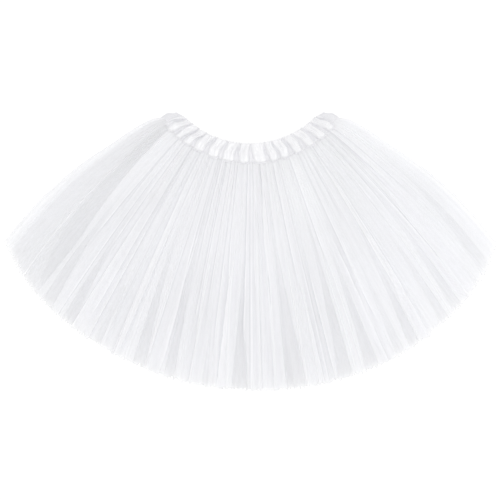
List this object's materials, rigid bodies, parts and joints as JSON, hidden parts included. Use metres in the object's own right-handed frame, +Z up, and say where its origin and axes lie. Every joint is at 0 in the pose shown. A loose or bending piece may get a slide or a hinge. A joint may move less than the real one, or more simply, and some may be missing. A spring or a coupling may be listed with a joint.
{
  "type": "ballet tutu",
  "caption": "Child's pull-on ballet tutu laid flat: a gathered satin waistband over layers of gathered, pleated tulle that fan out to a curved, frayed hem.",
  "frame": {"origin": "middle of the bottom of the bounding box, on the surface that the tutu lies on", "axes": "+Z up, out of the front of the laid-flat tutu; +Y from the hem to the waist; +X across the tutu, to the right as seen from above with the waist away from the viewer"},
  "size_m": [0.5932, 0.342, 0.0236],
  "materials": {
    "satin": "glossy white satin, gathered over elastic",
    "tulle": "matt, see-through cool white net"
  },
  "bodies": {
    "root": {"waistband": "satin", "tulle_outer": "tulle", "tulle_middle": "tulle", "tulle_inner": "tulle"}
  },
  "joints": []
}
